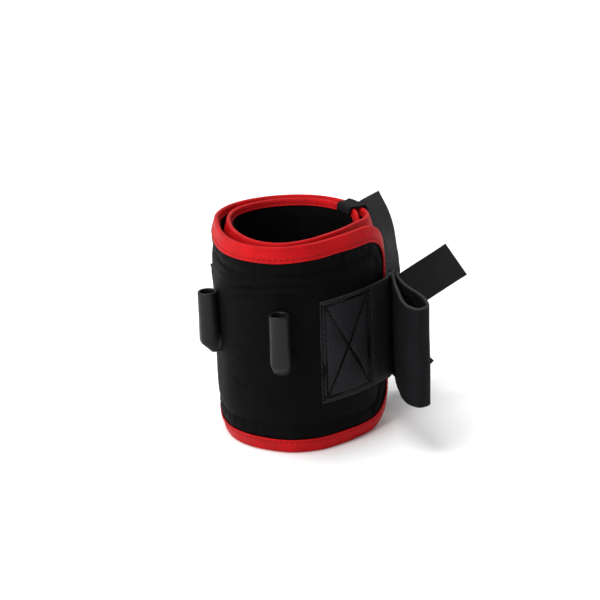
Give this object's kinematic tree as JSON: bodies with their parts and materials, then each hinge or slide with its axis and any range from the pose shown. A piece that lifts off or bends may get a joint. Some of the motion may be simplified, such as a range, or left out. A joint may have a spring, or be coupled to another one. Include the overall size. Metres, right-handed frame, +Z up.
{
  "type": "inflatable limb cuff",
  "caption": "Rolled inflatable cuff that wraps round a limb, with a hinged end flap, elbow hose ports, a webbing closure strap and tie ribbons, edges bound in red tape.",
  "frame": {"origin": "middle of the bounding box, at the base the cuff stands on", "axes": "+Z up along the limb, -Y the front with the ports, +X the side with the strap and the ties"},
  "size_m": [0.1284, 0.0916, 0.103],
  "materials": {
    "black_cloth": "matte",
    "lining_cloth": "matte",
    "stiffener_board": "matte",
    "bladder_film": "satin",
    "red_tape": "satin weave",
    "port_rubber": "matte",
    "webbing": "ribbed weave",
    "thread": "matte",
    "pile": "rough pile",
    "ribbon": "satin weave"
  },
  "bodies": {
    "cuff": {"wrap_shell": "black_cloth", "wrap_stiffener": "stiffener_board", "wrap_bladder": "bladder_film", "wrap_lining": "lining_cloth", "wrap_binding": "red_tape", "landing_patch": "pile", "rim_tab": "ribbon", "standing_tie_anchor": "ribbon", "side_tie_anchor": "ribbon"},
    "flap": {"flap_shell": "black_cloth", "flap_stiffener": "stiffener_board", "flap_bladder": "bladder_film", "flap_lining": "lining_cloth", "flap_binding": "red_tape", "left_port": "port_rubber", "left_port_flange": "port_rubber", "front_port": "port_rubber", "front_port_flange": "port_rubber", "strap_anchor": "webbing", "strap_box_stitch": "thread"},
    "strap": {"strap_loop": "webbing", "strap_hook_tape": "pile"},
    "standing_tie": {"standing_tie": "ribbon"},
    "side_tie": {"side_tie_upper_tail": "ribbon", "side_tie_lower_tail": "ribbon"}
  },
  "joints": [
    {"name": "flap_fold", "type": "hinge", "parent": "cuff", "child": "flap", "pos_m": [-0.05726, 0.01121, 0.051], "axis": [0, 0, -1], "range_deg": [0, 75]},
    {"name": "strap_swing", "type": "hinge", "parent": "flap", "child": "strap", "pos_m": [0.02776, 0.00663, 0.049], "axis": [0, 0, 1], "range_deg": [0, 80]},
    {"name": "standing_tie_bend", "type": "hinge", "parent": "cuff", "child": "standing_tie", "pos_m": [0.01646, 0.02233, 0.057], "axis": [-0.4108, 0.9117, 0], "range_deg": [0, 25], "stiffness_Nm_per_rad": 0.008},
    {"name": "side_tie_swing", "type": "hinge", "parent": "cuff", "child": "side_tie", "pos_m": [0.01066, 0.03563, 0.038], "axis": [0, 0, 1], "range_deg": [0, 60]}
  ]
}
